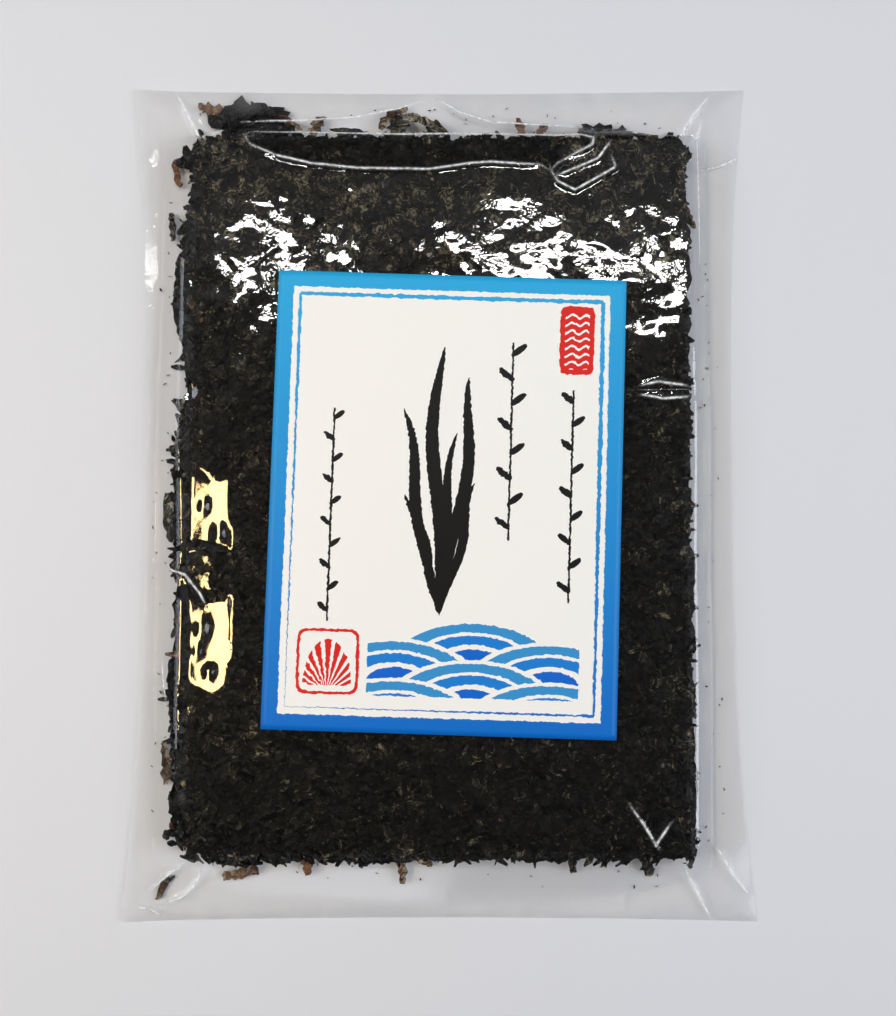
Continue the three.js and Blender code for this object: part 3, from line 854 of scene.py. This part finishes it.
# The bunch of seaweed in ink: each frond's foot, tip, sway, half width and where its waves start
FRONDS = [
    ((-1.0, -34.0), (-4.0, 47.0), 2.6, 2.1, 0.3),
    ((-1.5, -33.0), (-14.5, 28.0), 2.4, 1.8, 2.0),
    ((-0.5, -33.0), (8.5, 38.0), -2.6, 1.9, 1.0),
    ((-1.5, -32.0), (-10.5, 2.0), 1.8, 1.5, 4.0),
    ((-0.5, -32.0), (9.5, 6.0), 1.9, 1.5, 5.0),
    ((-1.0, -33.0), (2.5, 21.0), -1.8, 1.4, 2.6),
]

# The thin sprigs: each one's middle, height, distance from leaf to leaf, and a leaf's half length and width
SPRIGS = [
    ((19.0, 19.0), 60.0, 7.5, (2.9, 1.0)),
    ((37.5, 3.0), 64.0, 7.1, (2.5, 0.95)),
    ((-34.3, -4.5), 64.0, 6.4, (2.1, 0.8)),
]
LEAF_LEAN = math.radians(38)
STEM_HALF_WIDTH = 0.32

SOLID_STAMP = (38.2, 50.2)
OUTLINE_STAMP = (-33.6, -48.4)


class Print:
    """Masks for printed shapes on the label, each 1 inside the shape and 0 outside."""

    def __init__(self, nodes, x, y):
        self.nodes, self.x, self.y = nodes, x, y

    def box(self, middle, size):
        n = self.nodes
        across = n.add("COMPARE", [self.x, middle[0], size[0] / 2])
        return n.add("MULTIPLY", [across, n.add("COMPARE", [self.y, middle[1], size[1] / 2])])

    def rounded(self, middle, size, power=8.0, reach=1.0):
        """A box with rounded corners, or an ellipse at a power of 2, shrunk or grown by reach."""
        n = self.nodes
        terms = []
        for axis, centre, width in zip((self.x, self.y), middle, size):
            out = n.add("ABSOLUTE", [n.add("SUBTRACT", [axis, centre])])
            terms.append(n.add("POWER", [n.add("DIVIDE", [out, width / 2]), power]))
        return n.add("LESS_THAN", [n.add("ADD", terms), reach**power])

    def frond(self, foot, tip, sway, half_width, phase):
        """A brushed frond: a wavy stroke that swells in the middle and ends in two points."""
        n = self.nodes
        rise = tip[1] - foot[1]
        share = n.add("MULTIPLY_ADD", [self.y, 1 / rise, -foot[1] / rise], use_clamp=True)
        wave = n.add("SINE", [n.add("MULTIPLY_ADD", [share, 7.0, phase])])
        centre = n.add("MULTIPLY_ADD", [share, tip[0] - foot[0], foot[0]])
        centre = n.add("MULTIPLY_ADD", [n.add("MULTIPLY", [wave, share]), sway, centre])
        swell = n.add("MULTIPLY", [share, n.add("SUBTRACT", [1.0, share])])
        swell = n.add("POWER", [n.add("MULTIPLY", [swell, 4.0]), 0.6])
        inside = n.add("COMPARE", [self.x, centre, n.add("MULTIPLY", [swell, half_width])])
        between = n.add("COMPARE", [self.y, (foot[1] + tip[1]) / 2, rise / 2])
        return n.add("MULTIPLY", [inside, between])

    def sprig(self, middle, height, pitch, leaf):
        """A thin stem with leaves to the left and right in turn."""
        n = self.nodes
        run = n.add("DIVIDE", [n.add("SUBTRACT", [self.y, middle[1] - height / 2]), pitch])
        side = n.add("FRACT", [n.add("MULTIPLY", [run, 0.5])])
        side = n.add("SIGN", [n.add("SUBTRACT", [side, 0.5])])
        up = n.add("SUBTRACT", [n.add("FRACT", [run]), 0.5])
        up = n.add("MULTIPLY", [up, pitch])
        out = n.add("MULTIPLY", [n.add("SUBTRACT", [self.x, middle[0]]), side])
        cosine, sine = math.cos(LEAF_LEAN), math.sin(LEAF_LEAN)
        along = n.add("MULTIPLY_ADD", [out, cosine, n.add("MULTIPLY", [up, sine])])
        aside = n.add("MULTIPLY_ADD", [up, cosine, n.add("MULTIPLY", [out, -sine])])
        along = n.add("DIVIDE", [n.add("SUBTRACT", [along, leaf[0] * 0.8]), leaf[0]])
        aside = n.add("DIVIDE", [aside, leaf[1]])
        oval = n.add("MULTIPLY_ADD", [along, along, n.add("MULTIPLY", [aside, aside])])
        stem = n.add("COMPARE", [self.x, middle[0], STEM_HALF_WIDTH])
        either = n.add("MAXIMUM", [n.add("LESS_THAN", [oval, 1.0]), stem])
        return n.add("MULTIPLY", [either, n.add("COMPARE", [self.y, middle[1], height / 2])])


def inner_line(n, flat, exact, rough):
    """A thin brushed line inside the border, which thins out towards the lower left corner."""
    corner = n.add("ADD", [exact.x, exact.y])
    corner = n.add("MULTIPLY_ADD", [corner, 1 / 170, 0.72], use_clamp=True)
    dry = n.add("TexNoise", {"Vector": flat, "Scale": 1 / 2.857, "Detail": 3.0})
    weight = n.add("MULTIPLY", [corner, n.add("MULTIPLY_ADD", [dry, 0.9, 0.15])])
    out = [n.add("ABSOLUTE", [axis]) for axis in (rough.x, rough.y)]
    half = [size / 2 - LINE_INSET for size in LABEL_SIZE]
    lines = []
    for across, along in ((0, 1), (1, 0)):
        line = n.add("COMPARE", [out[across], half[across], weight])
        lines.append(n.add("MULTIPLY", [line, n.add("LESS_THAN", [out[along], half[along]])]))
    return n.add("MAXIMUM", lines)


def wave_layers(n, rough, paper):
    """The traditional wave pattern: rows of overlapping scales, each a set of arcs one in another."""
    inside = rough.box(WAVES_MIDDLE, WAVES_SIZE)
    crest = WAVES_MIDDLE[1] + WAVES_SIZE[1] / 2
    scale = (2 * WAVE_HALF_WIDTH, 2 * WAVE_DEPTH)
    layers = []
    for row in range(4):
        foot = crest - row * WAVE_ROW_STEP - WAVE_DEPTH
        shown = n.add("MULTIPLY", [inside, n.add("GREATER_THAN", [rough.y, foot])])
        for column in (0,) if row % 2 == 0 else (-1, 1):
            middle = (WAVES_MIDDLE[0] + column * WAVE_HALF_WIDTH, foot)
            for gap, reach, ink in WAVE_ARCS:
                for outer, colour in ((gap, paper), (reach, linear(ink))):
                    arc = rough.rounded(middle, scale, power=2.0, reach=outer)
                    layers.append((n.add("MULTIPLY", [shown, arc]), colour))
    return layers


def stamp_layers(n, rough, red, paper):
    """Two red stamps: a solid one with wavy lines and an outlined one with a plain shell."""
    ripple = n.add("SINE", [n.add("MULTIPLY", [rough.x, 1.5])])
    ripple = n.add("MULTIPLY_ADD", [ripple, 0.22, n.add("MULTIPLY", [rough.y, 0.42])])
    ripple = n.add("LESS_THAN", [n.add("FRACT", [ripple]), 0.3])
    ripple = n.add("MULTIPLY", [ripple, rough.box(SOLID_STAMP, (7.4, 17.6))])
    hinge = (OUTLINE_STAMP[0], OUTLINE_STAMP[1] - 7.0)
    fan = n.add("GREATER_THAN", [rough.y, hinge[1]])
    fan = n.add("MULTIPLY", [fan, rough.rounded(hinge, (14.4, 27.2), power=2.0)])
    across = n.add("SUBTRACT", [rough.x, hinge[0]])
    turn = n.add("ARCTAN2", [across, n.add("SUBTRACT", [rough.y, hinge[1] - 2.0])])
    ribs = n.add("FRACT", [n.add("MULTIPLY_ADD", [turn, 4.4, 0.3])])
    ribs = n.add("LESS_THAN", [ribs, 0.6])
    return [
        (rough.rounded(SOLID_STAMP, (10.4, 20.8)), red),
        (ripple, paper),
        (rough.rounded(OUTLINE_STAMP, (18.6, 19.4)), red),
        (rough.rounded(OUTLINE_STAMP, (16.9, 17.7)), paper),
        (n.add("MULTIPLY", [fan, ribs]), red),
    ]


def label_material(inks):
    """Coated label paper, printed in blue, red and black with slightly rough edges to the ink."""
    n = Nodes("printed_label_paper")
    place = n.add("TexCoord").outputs["Object"]
    middle = (LABEL_MIDDLE[0] * MM, LABEL_MIDDLE[1] * MM, 0)
    turned = {"Vector": place, "Location": middle, "Rotation": (0, 0, LABEL_SLANT), "Scale": (MM, MM, MM)}
    flat = n.add("Mapping", turned, vector_type="TEXTURE")
    x, y = n.add("SeparateXYZ", [flat]).outputs[:2]
    ink_edge = n.add("TexNoise", {"Vector": flat, "Scale": 1 / 1.25, "Detail": 4.0})
    shift = n.add("MULTIPLY_ADD", [ink_edge, 1.1, -0.55])
    rough = Print(n, n.add("ADD", [x, shift]), n.add("ADD", [y, shift]))
    exact = Print(n, x, y)
    width, length = LABEL_SIZE
    height = n.add("MULTIPLY_ADD", [y, 1 / length, 0.5], use_clamp=True)
    blue = n.add("Mix", {0: height, 6: inks.blue_foot, 7: inks.blue_top}, data_type="RGBA").outputs[2]
    # The printed layers from the border up. The cut edge of the paper has no ink on it
    layers = [(rough.box((0, 0), (width - 2 * BORDER, length - 2 * BORDER)), inks.paper)]
    layers.append((inner_line(n, flat, exact, rough), blue))
    layers += wave_layers(n, rough, inks.paper)
    layers += [(rough.frond(*frond), inks.black) for frond in FRONDS]
    layers += [(rough.sprig(*sprig), inks.black) for sprig in SPRIGS]
    layers += stamp_layers(n, rough, inks.red, inks.paper)
    printed = exact.box((0, 0), (width + 0.02, length + 0.02))
    layers.append((n.add("SUBTRACT", [1.0, printed]), inks.paper))
    colour = blue
    for mask, ink in layers:
        colour = n.add("Mix", {0: mask, 6: colour, 7: ink}, data_type="RGBA").outputs[2]
    paper = {"Base Color": colour, "Roughness": 0.45, "Specular IOR Level": 0.25}
    return n.finish(n.add("BsdfPrincipled", paper))


def on_label(u, v):
    """A place on the label, which lies on the film and follows only its broad swells."""
    across, along = LABEL_SIZE[0] * (u - 0.5), LABEL_SIZE[1] * (v - 0.5)
    x = LABEL_MIDDLE[0] + across * math.cos(LABEL_SLANT) - along * math.sin(LABEL_SLANT)
    y = LABEL_MIDDLE[1] + across * math.sin(LABEL_SLANT) + along * math.cos(LABEL_SLANT)
    return x, y, CROWN + LABEL_LIFT + 0.12 * wrinkle(x, y, 30.0, 1.5)


# The films

# The film's rows are closer together above the label, where its finest relief glints
GLINT_BAND = (48.0, 96.0)
GLINT_SHARES = (0.612, 0.884)


def front_film_mesh(columns, rows):
    marks = {}

    def place(u, v):
        half = BAG_LENGTH / 2
        x, y = on_bag(u, np.interp(v, [0, *GLINT_SHARES, 1], [-half, *GLINT_BAND, half]))
        side, mark = crease_marks(x, y)
        touching = 1 - left_shoulder(x, y)[1]
        marks.update(zip(FILM_MARKS, (side, mark, film_milk(x, y), film_gloss(x, y), touching)))
        return x, y, film_height(x, y)

    mesh = grid_mesh("bag_front_film", columns, rows, place)
    for name, values in marks.items():
        set_attribute(mesh, name, values)
    return mesh


def back_film_mesh(columns, rows):
    def place(u, v):
        x, y = on_bag(u, BAG_LENGTH * (v - 0.5))
        swell = 0.1 * wrinkle(x, y, 9.0, 11.5) * np.clip(from_rim(x, y) / 4, 0, 1)
        return x, y, BACK_FILM + swell + 0.05 * wrinkle(x, y, 3.0, 2.5)

    mesh = grid_mesh("bag_back_film", columns, rows, place)
    set_attribute(mesh, "milk", np.full(len(mesh.vertices), 0.02))
    set_attribute(mesh, "gloss", np.full(len(mesh.vertices), 0.15))
    return mesh


# The stage

FLOOR_WIDTH = 5000.0
CAMERA_PLACE = (2.8, -20.13, 305.9)
CAMERA_AIM = (2.8, -4.1, 10.0)

# Lamps: name, place and aim in metres, size, radiance and colour. One without an aim faces straight down.
LAMPS = [
    ("left_lamp", (-0.225, 0.336, 0.91), None, (0.13, 0.04), 34.0, "#fffefb"),
    ("right_lamp", (0.14, 0.336, 0.91), None, (0.26, 0.036), 34.0, "#fffefb"),
    ("ceiling", (0.0, 0.82, 1.6), None, (1.6, 0.6), 0.12, "#f4f6ff"),
    ("warm_lamp", (-0.301, -0.03, 0.51), None, (0.032, 0.2), 33.0, "#ffdd9a"),
    ("left_soft", (-1.0, 0.1, 0.85), (0, 0, 0), (0.8, 0.8), 4.5, "#ecf3ff"),
    ("right_soft", (1.0, -0.1, 0.85), (0, 0, 0), (0.8, 0.8), 5.1, "#f4f8ff"),
]


def on_floor(u, v):
    return FLOOR_WIDTH * (u - 0.5), FLOOR_WIDTH * (v - 0.5), np.zeros_like(u)


def area_light(name, place, aim, size, radiance, colour):
    """A rectangular light whose brightness is its surface's radiance."""
    lamp = bpy.data.lights.new(name, "AREA")
    lamp.shape = "RECTANGLE"
    lamp.size, lamp.size_y = size
    lamp.energy = radiance * math.pi * size[0] * size[1]
    lamp.color = linear(colour)[:3]
    light = bpy.data.objects.new(name, lamp)
    light.location = place
    if aim is not None:
        light.rotation_euler = (Vector(aim) - Vector(place)).to_track_quat("-Z", "Y").to_euler()
    bpy.context.scene.collection.objects.link(light)


# Property groups, operators and panel


def colour_property(name, description, colour):
    """A colour that the user can change, from its sRGB hex value."""
    return bpy.props.FloatVectorProperty(
        name=name, description=description, default=linear(colour), subtype="COLOR", size=4, min=0.0, max=1.0
    )


class RockNoriBagSettings(bpy.types.PropertyGroup):
    """Sizes of the film bag."""

    film_cell: bpy.props.FloatProperty(
        name="Film cell",
        description="Spacing of the film's mesh",
        default=0.76 * MM,
        min=0.3 * MM,
        unit="LENGTH",
    )


class RockNoriSheetSettings(bpy.types.PropertyGroup):
    """Colours of the seaweed."""

    tip_colour: colour_property("Tip colour", "Torn tips that stand out of the sheets", "#7a4a2a")


class RockNoriLabelSettings(bpy.types.PropertyGroup):
    """Colours of the label's paper and inks."""

    paper: colour_property("Paper", "Bare paper of the label", "#fffdf7")
    blue_top: colour_property("Blue at the top", "Border's blue at the label's top", "#2cb0e8")
    blue_foot: colour_property("Blue at the foot", "Border's blue at the label's foot", "#0a70d0")
    red: colour_property("Red", "Ink of the two stamps", "#e3231b")
    black: colour_property("Black", "Ink of the fronds and sprigs", "#0d0c0c")


class RockNoriStageSettings(bpy.types.PropertyGroup):
    """The floor and camera."""

    floor_colour: colour_property("Floor colour", "Painted board under the pack", "#e4e5e9")
    lens: bpy.props.FloatProperty(
        name="Lens", description="The camera's focal length", default=35.0, min=10.0, unit="CAMERA"
    )


class ROCKNORI_OT_stage(bpy.types.Operator):
    """Set up the floor, camera and lights"""

    bl_idname = "rocknori.stage"
    bl_label = "Stage"

    def execute(self, context):
        scene = context.scene
        mesh = grid_mesh("floor", 1, 1, on_floor)
        n = Nodes("painted_board")
        paint = {"Base Color": scene.rock_nori_stage.floor_colour, "Roughness": 0.7}
        mesh.materials.append(n.finish(n.add("BsdfPrincipled", paint)))
        floor = bpy.data.objects.new("floor", mesh)
        scene.collection.objects.link(floor)
        camera = bpy.data.objects.new("camera", bpy.data.cameras.new("camera"))
        camera.data.lens = scene.rock_nori_stage.lens
        camera.location = Vector(CAMERA_PLACE) * MM
        aim = Vector(CAMERA_AIM) * MM
        camera.rotation_euler = (aim - camera.location).to_track_quat("-Z", "Y").to_euler()
        scene.collection.objects.link(camera)
        scene.camera = camera
        for lamp in LAMPS:
            area_light(*lamp)
        world = bpy.data.worlds.new("studio")
        world.use_nodes = True
        background = world.node_tree.nodes["Background"].inputs
        background["Color"].default_value = linear("#ffffff")
        background["Strength"].default_value = 0.03
        scene.world = world
        scene.view_settings.view_transform = "Standard"
        return {"FINISHED"}


class ROCKNORI_OT_film(bpy.types.Operator):
    """Make the front and back film of the bag"""

    bl_idname = "rocknori.film"
    bl_label = "Film bag"

    def execute(self, context):
        cell = context.scene.rock_nori_bag.film_cell / MM
        columns, rows = int(BAG_WIDTH / cell), int(BAG_LENGTH / cell)
        material = film_material()
        front = front_film_mesh(columns, rows)
        add_piece("bag_front_film", front, material, "front_film", slot="film")
        back = back_film_mesh(columns // 2, rows // 2)
        add_piece("bag_back_film", back, material, "back_film", slot="film")
        return {"FINISHED"}


class ROCKNORI_OT_sheets(bpy.types.Operator):
    """Make the felted sheets of seaweed"""

    bl_idname = "rocknori.sheets"
    bl_label = "Nori sheets"

    def execute(self, context):
        for index in range(len(SHEETS)):
            build_nori_sheet(index)
        return {"FINISHED"}


class ROCKNORI_OT_loose_blade(bpy.types.Operator):
    """Make the loose blade in the bag's lower left corner"""

    bl_idname = "rocknori.loose_blade"
    bl_label = "Loose blade"

    def execute(self, context):
        rows = [
            (-85.2, -122.6, 66, 8.2, 2.4, 0.25, 0.75, 0.86),
            (-83.6, -118.0, 40, 4.6, 1.3, -0.5, 0.8, 0.6),
        ]
        add_fronds("loose_blade_torn", chosen_fronds(rows), 10, "loose_blade")
        return {"FINISHED"}


class ROCKNORI_OT_crumbs(bpy.types.Operator):
    """Make the crumbs of seaweed that lie in the bag's margins"""

    bl_idname = "rocknori.crumbs"
    bl_label = "Crumbs"

    def execute(self, context):
        draw = np.random.default_rng(5)
        count = CRUMBS
        side = draw.integers(0, 4, count)
        along = draw.uniform(-1, 1, count)
        away = draw.uniform(1, 9, count)
        crumbs = dict(
            x=np.choose(side, [-82 - away * 0.8, 80 + away * 0.8, 76 * along, 76 * along]),
            y=np.choose(side, [105 * along, 105 * along, -110 - away, 114 + away]),
            heading=draw.uniform(0, np.pi, count),
            length=draw.uniform(0.35, 1.3, count),
            width=draw.uniform(0.25, 0.6, count),
            curl=draw.normal(0, 0.5, count),
            z=np.full(count, 0.6),
            arch=draw.uniform(0, 0.2, count),
            fold=draw.normal(0, 0.1, count),
            roll=draw.normal(0, 0.2, count),
            sink=draw.uniform(0, 0.3, count),
            side=np.ones(count),
            tint=draw.uniform(0, 0.9, count),
        )
        add_fronds("nori_crumbs", crumbs, 2)
        return {"FINISHED"}


class ROCKNORI_OT_label(bpy.types.Operator):
    """Make the printed paper label"""

    bl_idname = "rocknori.label"
    bl_label = "Paper label"

    def execute(self, context):
        mesh = grid_mesh("paper_label", 60, 78, on_label)
        add_wall(mesh, lambda z: z - LABEL_THICKNESS * MM, closed=False)
        material = label_material(context.scene.rock_nori_label)
        add_piece("paper_label", mesh, material, "label", slot="label_paper")
        return {"FINISHED"}


class ROCKNORI_PT_panel(bpy.types.Panel):
    """Lists the pack's makers and what can be changed"""

    bl_label = "Rock nori"
    bl_idname = "ROCKNORI_PT_panel"
    bl_space_type = "VIEW_3D"
    bl_region_type = "UI"
    bl_category = "Rock nori"

    def draw(self, context):
        for maker in MAKERS:
            self.layout.operator(maker.bl_idname)
        for name, kind in SETTINGS.items():
            for setting in kind.__annotations__:
                self.layout.prop(getattr(context.scene, name), setting)


MAKERS = (
    ROCKNORI_OT_stage,
    ROCKNORI_OT_film,
    ROCKNORI_OT_sheets,
    ROCKNORI_OT_loose_blade,
    ROCKNORI_OT_crumbs,
    ROCKNORI_OT_label,
)
SETTINGS = {
    "rock_nori_bag": RockNoriBagSettings,
    "rock_nori_sheets": RockNoriSheetSettings,
    "rock_nori_label": RockNoriLabelSettings,
    "rock_nori_stage": RockNoriStageSettings,
}


def register():
    for kind in (*SETTINGS.values(), *MAKERS, ROCKNORI_PT_panel):
        bpy.utils.register_class(kind)
    for name, kind in SETTINGS.items():
        setattr(bpy.types.Scene, name, bpy.props.PointerProperty(type=kind))


def unregister():
    for name in SETTINGS:
        delattr(bpy.types.Scene, name)
    for kind in reversed((*SETTINGS.values(), *MAKERS, ROCKNORI_PT_panel)):
        bpy.utils.unregister_class(kind)


def main():
    register()
    bpy.ops.rocknori.stage()
    bpy.ops.rocknori.film()
    bpy.ops.rocknori.sheets()
    bpy.ops.rocknori.loose_blade()
    bpy.ops.rocknori.crumbs()
    bpy.ops.rocknori.label()


if __name__ == "__main__":
    main()
